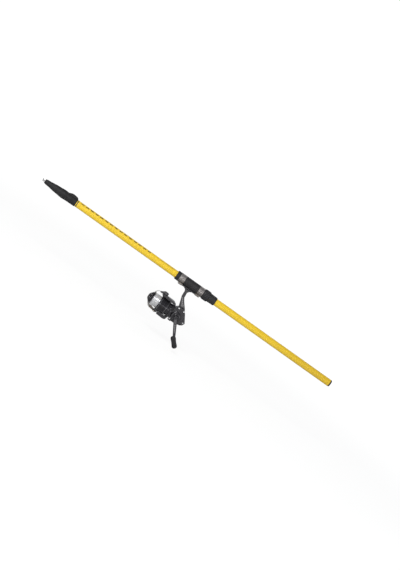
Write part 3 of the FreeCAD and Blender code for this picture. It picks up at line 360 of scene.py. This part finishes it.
def crank_finish():
    """Black lacquered crank arm with a painted highlight: a paler strip along its middle."""
    f = Finish("crank_lacquer", metallic=0.3, coat=0.5, specular=0.4)
    x, y, z = f.axes()
    along = f.maths("SUBTRACT", x, drive_axis.x)
    up = f.maths("SUBTRACT", z, drive_axis.z)
    sine, cosine = math.sin(CRANK_ANGLE), math.cos(CRANK_ANGLE)
    side = f.maths("ADD", f.maths("MULTIPLY", along, sine), f.maths("MULTIPLY", up, cosine))
    reach = f.maths("SUBTRACT", f.maths("MULTIPLY", along, cosine), f.maths("MULTIPLY", up, sine))
    # painted highlight: a pale grey strip along the middle of the arm, from 17 mm to 50 mm out
    middle = f.spread(f.maths("ABSOLUTE", side), 1.0, 0.0, 1.3 * mm, 2.1 * mm)
    start = f.spread(reach, 0.0, 1.0, 17 * mm, 22 * mm)
    stop = f.spread(reach, 1.0, 0.0, 38 * mm, 50 * mm)
    painted_highlight_strip = f.maths("MULTIPLY", middle, f.maths("MULTIPLY", start, stop))
    base = f.ramp(f.noise(30.0, 4.0), [(0.3, (0.012, 0.011, 0.014)), (0.7, (0.022, 0.020, 0.025))])
    f.colour(f.mix(painted_highlight_strip, base, (0.19, 0.185, 0.19)))
    f.roughness(f.spread(f.noise(150.0), 0.24, 0.34))
    f.bump(f.noise(1400.0), 0.000006, 0.4)
    return f.material


def spool_finish():
    """Black anodised spool with turned pale lines round its skirt and lip."""
    f = Finish("spool_black", metallic=0.85, coat=0.35)
    base = f.ramp(f.noise(30.0, 4.0, (8, 1, 1)),
                  [(0.3, (0.018, 0.017, 0.020)), (0.7, (0.036, 0.034, 0.040))])
    x, y, z = f.axes()
    offset = f.maths("SUBTRACT", x, rotor_face)
    bands = None
    for at, width in SKIRT_LINES:
        gap = f.maths("ABSOLUTE", f.maths("SUBTRACT", offset, at * mm))
        near = f.maths("LESS_THAN", gap, width * mm)
        bands = near if bands is None else f.maths("MAXIMUM", bands, near)
    f.colour(f.mix(bands, base, (0.20, 0.20, 0.21)))
    f.roughness(f.spread(f.noise(200.0, 3.0, (20, 1, 1)), 0.2, 0.34))
    f.bump(f.noise(700.0, 2.0, (6, 1, 1)), 0.00003, 0.4)
    return f.material


def line_finish():
    """Clear nylon line: bright, glossy and crossing its own turns."""
    f = Finish("wound_line", metallic=0.5, coat=0.2, coat_roughness=0.3)
    wave = f.tree.nodes.new("ShaderNodeTexWave")
    wave.bands_direction = "X"
    wave.inputs["Scale"].default_value = 420.0
    wave.inputs["Distortion"].default_value = 1.2
    wave.inputs["Detail"].default_value = 2.0
    f.link(f.place, wave.inputs["Vector"])
    f.colour(f.mix(wave.outputs["Fac"], (0.60, 0.60, 0.615), (0.68, 0.68, 0.695)))
    f.roughness(f.spread(f.noise(300.0), 0.32, 0.37))
    f.bump(wave.outputs["Fac"], 0.000012, 0.4)
    return f.material


def fabric_finish():
    """Oiled felt of the drag washers."""
    f = Finish("oiled_felt", specular=0.2)
    f.colour(f.ramp(f.noise(900.0, 5.0), [(0.3, (0.10, 0.09, 0.08)), (0.7, (0.22, 0.2, 0.18))]))
    f.roughness(f.spread(f.noise(200.0), 0.8, 0.95))
    f.bump(f.noise(2400.0, 4.0), 0.0002, 0.8)
    return f.material


def make_finishes():
    """Every finish by the name that node_finishes uses."""
    black = (0.014, 0.0135, 0.015)
    return {
        "rod": rod_finish(),
        "moulded_black": plain_finish("moulded_black", black, (0.026, 0.025, 0.027), (0.42, 0.58),
                                      grain=1500.0, depth=0.000012, wear=(0.035, 0.034, 0.036),
                                      specular=0.3),
        "soft_black": plain_finish("soft_black", (0.013, 0.0125, 0.0135), (0.026, 0.025, 0.026),
                                   (0.55, 0.75), grain=2200.0, depth=0.00002, wear=(0.03, 0.029, 0.03),
                                   specular=0.3),
        "lacquer": plain_finish("guide_lacquer", (0.02, 0.02, 0.021), (0.04, 0.039, 0.04), (0.18, 0.3),
                                coat=0.6, wear=(0.3, 0.3, 0.3), rounded=0.0002),
        "ring": plain_finish("polished_ring", (0.62, 0.62, 0.64), (0.8, 0.8, 0.82), (0.08, 0.16),
                             metallic=1.0, grain=600.0, depth=0.00001),
        "hood": hood_finish(),
        "reel": plain_finish("reel_lacquer", (0.012, 0.011, 0.014), (0.022, 0.020, 0.025), (0.24, 0.34),
                             metallic=0.3, coat=0.6, grain=1400.0, depth=0.000006, specular=0.4),
        "crank": crank_finish(),
        "panel": plain_finish("stem_grey", (0.13, 0.125, 0.13), (0.19, 0.185, 0.19), (0.28, 0.4),
                              metallic=0.7, coat=0.4, grain=2000.0, depth=0.00004,
                              wear=(0.45, 0.44, 0.45)),
        "collar": plain_finish("collar_gunmetal", (0.10, 0.097, 0.105), (0.17, 0.165, 0.175),
                               (0.14, 0.25), metallic=0.9, coat=0.6, wear=(0.5, 0.5, 0.5)),
        "bail": plain_finish("bail_bronze", (0.21, 0.175, 0.15), (0.33, 0.285, 0.25), (0.16, 0.28),
                             metallic=1.0, wear=(0.6, 0.56, 0.52), rounded=0.0002),
        "wire": plain_finish("bail_wire_satin", (0.70, 0.69, 0.68), (0.82, 0.81, 0.80), (0.28, 0.38),
                             metallic=0.3, grain=600.0, depth=0.000006),
        "steel": plain_finish("machined_steel", (0.42, 0.42, 0.43), (0.62, 0.62, 0.63), (0.18, 0.34),
                              metallic=1.0, stretch=(6, 1, 1), wear=(0.8, 0.8, 0.8), rounded=0.0002),
        "brass": plain_finish("machined_brass", (0.55, 0.38, 0.13), (0.75, 0.56, 0.24), (0.2, 0.35),
                              metallic=1.0, wear=(0.9, 0.75, 0.45), rounded=0.0002),
        "zinc": plain_finish("cast_zinc", (0.38, 0.38, 0.40), (0.52, 0.52, 0.54), (0.3, 0.48),
                             metallic=1.0, wear=(0.7, 0.7, 0.7), rounded=0.0002),
        "spool": spool_finish(),
        "line": line_finish(),
        "felt": fabric_finish(),
    }


# which finish each CAD node wears
node_finishes = {
    "rod": ("butt_section", "section_1", "section_2", "section_3", "tip_section"),
    "moulded_black": ("butt_cap", "seat_front_ring", "seat_barrel", "seat_tail", "seat_nut",
                      "handle_screw_cap", "anti_reverse_lever", "line_clip"),
    "soft_black": ("butt_pad", "tip_cap", "handle_grip"),
    "lacquer": ("guide_1", "guide_2", "guide_3", "tip_top"),
    "wire": ("bail_wire",),
    "ring": ("guide_1_ring", "guide_2_ring", "guide_3_ring", "tip_top_ring"),
    "hood": ("front_hood", "rear_hood"),
    "reel": ("reel_body", "side_cover", "rotor", "handle_hub", "rear_guard", "drag_knob"),
    "crank": ("handle_arm",),
    "collar": ("knob_collar", "bail_holder"),
    "bail": ("bail_arm",),
    "spool": ("spool",),
    "line": ("line_winding",),
    "steel": ("cover_screws", "drive_bearings", "pinion_bearing", "clutch_shell", "clutch_core",
              "crosswind_pinion", "crosswind_gear", "main_shaft", "bail_pivot_screws", "handle_rod",
              "knob_spindle", "roller_spindle", "washer_retainer", "rotor_nut", "line_roller"),
    "brass": ("pinion_gear", "pinion_rear_bush", "crosswind_slider"),
    "zinc": ("drive_gear",),
    "felt": ("drag_washers", "spool_support"),
}


def dress(obj, material):
    obj.data.materials.clear()
    obj.data.materials.append(material)


# --- pieces --------------------------------------------------------------------------------------
def add_piece(name, mesh, body, node, material):
    piece = bpy.data.objects.new(name, mesh)
    bpy.context.scene.collection.objects.link(piece)
    dress(piece, material)
    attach(piece, body)
    if node:
        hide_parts(node)
    return piece


def finished_mesh(bm, name, smooth_angle=40.0):
    bmesh.ops.remove_doubles(bm, verts=bm.verts, dist=0.000001)
    bmesh.ops.recalc_face_normals(bm, faces=bm.faces)
    mesh = bpy.data.meshes.new(name)
    bm.to_mesh(mesh)
    bm.free()
    for polygon in mesh.polygons:
        polygon.use_smooth = True
    mesh.set_sharp_from_angle(angle=math.radians(smooth_angle))
    return mesh


def settled(piece):
    """Apply the piece's modifiers to its mesh."""
    graph = bpy.context.evaluated_depsgraph_get()
    mesh = bpy.data.meshes.new_from_object(piece.evaluated_get(graph))
    piece.modifiers.clear()
    piece.data = mesh
    return piece


def softened(node, material, voxel, rounds):
    """A cast or moulded copy of a node: its edges melt into each other as on a real casting."""
    source = frame["nodes"][node]
    bm = bmesh.new()
    bm.from_mesh(source.data)
    bmesh.ops.remove_doubles(bm, verts=bm.verts, dist=0.00001)
    mesh = bpy.data.meshes.new(node + "_cast")
    bm.to_mesh(mesh)
    bm.free()
    piece = add_piece(node + "_cast", mesh, source["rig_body"], node, material)
    remesh = piece.modifiers.new("skin", "REMESH")
    remesh.mode = "VOXEL"
    remesh.voxel_size = voxel
    remesh.use_smooth_shade = True
    smooth = piece.modifiers.new("melt", "SMOOTH")
    smooth.factor = 0.5
    smooth.iterations = rounds
    settled(piece)
    dress(piece, material)
    return piece


def reel_spot(u, y, z):
    """u along X from the rotor's face and z from the main shaft, in millimetres."""
    return Vector((rotor_face + u * mm, y * mm, shaft_height + z * mm))


def flat_inlay(name, outline, y_low, y_high, edge, body, material):
    """A thin plate square to Y with a rounded edge, from (u, z) corners."""
    bm = bmesh.new()
    verts = [bm.verts.new(reel_spot(u, y_low, z)) for u, z in outline]
    face = bm.faces.new(verts)
    grown = bmesh.ops.extrude_face_region(bm, geom=[face])
    moved = [v for v in grown["geom"] if isinstance(v, bmesh.types.BMVert)]
    bmesh.ops.translate(bm, verts=moved, vec=(0, (y_high - y_low) * mm, 0))
    upright = [e for e in bm.edges if abs((e.verts[0].co - e.verts[1].co).normalized().y) > 0.9]
    bmesh.ops.bevel(bm, geom=upright, offset=1.6 * mm, segments=5, profile=0.5, affect="EDGES", material=-1)
    rims = [e for e in bm.edges if e.calc_face_angle(0) > 1.2]
    bmesh.ops.bevel(bm, geom=rims, offset=edge, segments=3, profile=0.5, affect="EDGES", material=-1)
    return add_piece(name, finished_mesh(bm, name), body, None, material)


def make_stem_panels(material):
    """Grey inlays on both flats of the stem, which leave dark edges round them."""
    half = 5.0
    outline = [(-0.6, 57), (3.4, 57), (9.5, 46.5), (22.5, 33.5), (17, 29.5), (12.2, 31.5), (5.2, 47)]
    for side, low, high in (("near", -half - 0.4, -half + 0.2), ("far", half - 0.2, half + 0.4)):
        flat_inlay("stem_panel_" + side, outline, low, high, 0.15 * mm, "rod_butt", material)


def spun(profile, centre, axis, steps=96):
    """Spin a profile of (along, radius) points about an axis into a closed shell."""
    axis = Vector(axis)
    side = axis.orthogonal().normalized()
    bm = bmesh.new()
    verts = [bm.verts.new(centre + axis * a + side * r) for a, r in profile]
    edges = [bm.edges.new((verts[i], verts[i + 1])) for i in range(len(verts) - 1)]
    edges.append(bm.edges.new((verts[-1], verts[0])))
    bmesh.ops.spin(bm, geom=verts + edges, cent=centre, axis=axis, angle=math.tau, steps=steps,
                   use_merge=True)
    return bm


def make_winding(material):
    """The wound line: each turn stands up a little, fuller in the middle."""
    low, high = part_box("line_winding")
    outer = (high.z - low.z) / 2
    inner = outer * 0.7
    length = high.x - low.x
    turns = 46
    profile = [(0.0, inner)]
    for i in range(turns * 4 + 1):
        share = i / (turns * 4)
        ripple = 0.05 * mm * math.cos(share * turns * math.tau)
        crown = 0.35 * mm * (1 - (2 * share - 1) ** 6)
        profile.append((share * length, outer - 0.5 * mm + crown + ripple))
    profile.append((length, inner))
    centre = Vector((low.x, 0, shaft_height))
    bm = spun(profile, centre, (1, 0, 0), steps=72)
    add_piece("wound_line", finished_mesh(bm, "wound_line", 60.0), "spool", "line_winding", material)


def make_grip(material):
    """Paddle grip: a soft block, waisted in the middle and ribbed for the fingers."""
    low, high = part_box("handle_grip")
    centre = (low + high) / 2
    depth = high.y - low.y
    bm = bmesh.new()
    bmesh.ops.create_cube(bm, size=1.0)
    bmesh.ops.scale(bm, verts=bm.verts, vec=(GRIP_LENGTH, depth, GRIP_WIDTH))
    corners = [e for e in bm.edges if abs((e.verts[0].co - e.verts[1].co).normalized().y) > 0.9]
    bmesh.ops.bevel(bm, geom=corners, offset=7.6 * mm, segments=8, profile=0.5, affect="EDGES", material=-1)
    rims = [e for e in bm.edges if e.calc_face_angle(0) > 1.2]
    bmesh.ops.bevel(bm, geom=rims, offset=3.2 * mm, segments=5, profile=0.5, affect="EDGES", material=-1)
    count = 31
    for i in range(count):
        at = GRIP_LENGTH * (-0.46 + 0.92 * i / (count - 1))
        geom = list(bm.verts) + list(bm.edges) + list(bm.faces)
        bmesh.ops.bisect_plane(bm, geom=geom, dist=0.0000001, plane_co=(at, 0, 0), plane_no=(1, 0, 0))
    for vert in bm.verts:
        along = vert.co.x / (GRIP_LENGTH / 2)
        waist = 1 - 0.10 * math.exp(-(along / 0.45) ** 2)
        rib = 0.0
        if abs(along) < 0.72:
            rib = 0.035 * (0.5 + 0.5 * math.cos(along * math.tau * 3.5))
        vert.co.z *= waist - rib
        vert.co.y *= 1 - rib * 0.8
    bmesh.ops.rotate(bm, verts=bm.verts, cent=(0, 0, 0), matrix=Matrix.Rotation(GRIP_ANGLE, 3, "Y"))
    bmesh.ops.translate(bm, verts=bm.verts, vec=centre)
    mesh = finished_mesh(bm, "grip_moulding", 60.0)
    add_piece("grip_moulding", mesh, "handle_grip", "handle_grip", material)


def make_cover_ring(finishes):
    """Turned trim ring on the side cover, round the handle's boss."""
    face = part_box("side_cover")[0].y
    profile = [(1.2 * mm, 9.4 * mm), (0.5 * mm, 9.7 * mm), (0.45 * mm, 11.2 * mm), (1.2 * mm, 11.6 * mm),
               (2.0 * mm, 11.4 * mm), (2.0 * mm, 9.6 * mm)]
    centre = Vector((drive_axis.x, face, drive_axis.z))
    bm = spun(profile, centre, (0, 1, 0), steps=72)
    add_piece("cover_trim_ring", finished_mesh(bm, "cover_trim_ring"), "rod_butt", None,
              finishes["reel"])


def make_mouth_band(material):
    """Lacquered band round the butt tube, just behind its mouth."""
    low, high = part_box("butt_section")
    radius = high.z
    stand = 0.12 * mm
    profile = [(0, radius - 0.3 * mm), (0.2 * mm, radius + stand), (2.8 * mm, radius + stand),
               (3.0 * mm, radius - 0.3 * mm)]
    bm = spun(profile, Vector((low.x + 19 * mm, 0, 0)), (1, 0, 0), steps=64)
    add_piece("mouth_band", finished_mesh(bm, "mouth_band"), "rod_butt", None, material)


def build():
    make_camera()
    make_world()
    add_lamp("key", (-1.7, -2.45, 1.6), (1.2, 0.9), 56.0)
    add_lamp("fill", (1.6, -2.4, 0.8), (1.6, 1.6), 14.0)
    add_lamp("back", (0.2, 2.4, 1.8), (1.8, 1.2), 9.0)
    add_lamp("low", (-0.6, -1.8, -0.1), (1.2, 0.3), 3.0)
    make_floor()
    finishes = make_finishes()
    for finish, nodes in node_finishes.items():
        for node in nodes:
            dress(frame["nodes"][node], finishes[finish])
    make_stem_panels(finishes["panel"])
    make_winding(finishes["line"])
    make_grip(finishes["soft_black"])
    make_cover_ring(finishes)
    make_mouth_band(finishes["lacquer"])
    for node, slot, finish, voxel, rounds in (
            ("reel_body", "reel_paint", "reel", 0.60 * mm, 3),
            ("side_cover", "reel_paint", "reel", 0.40 * mm, 2),
            ("rotor", "reel_paint", "reel", 0.50 * mm, 3),
            ("handle_arm", "reel_paint", "crank", 0.45 * mm, 3),
            ("bail_holder", "reel_paint", "collar", 0.35 * mm, 2),
            ("bail_arm", "reel_paint", "bail", 0.30 * mm, 2),
            ("drag_knob", "spool_metal", "reel", 0.35 * mm, 1),
            ("seat_nut", "black_plastic", "moulded_black", 0.40 * mm, 2),
            ("tip_cap", "soft_black", "soft_black", 0.50 * mm, 3)):
        softened(node, finishes[finish], voxel, rounds)
    bpy.context.scene.view_settings.view_transform = "Standard"


build()
bpy.context.view_layer.update()
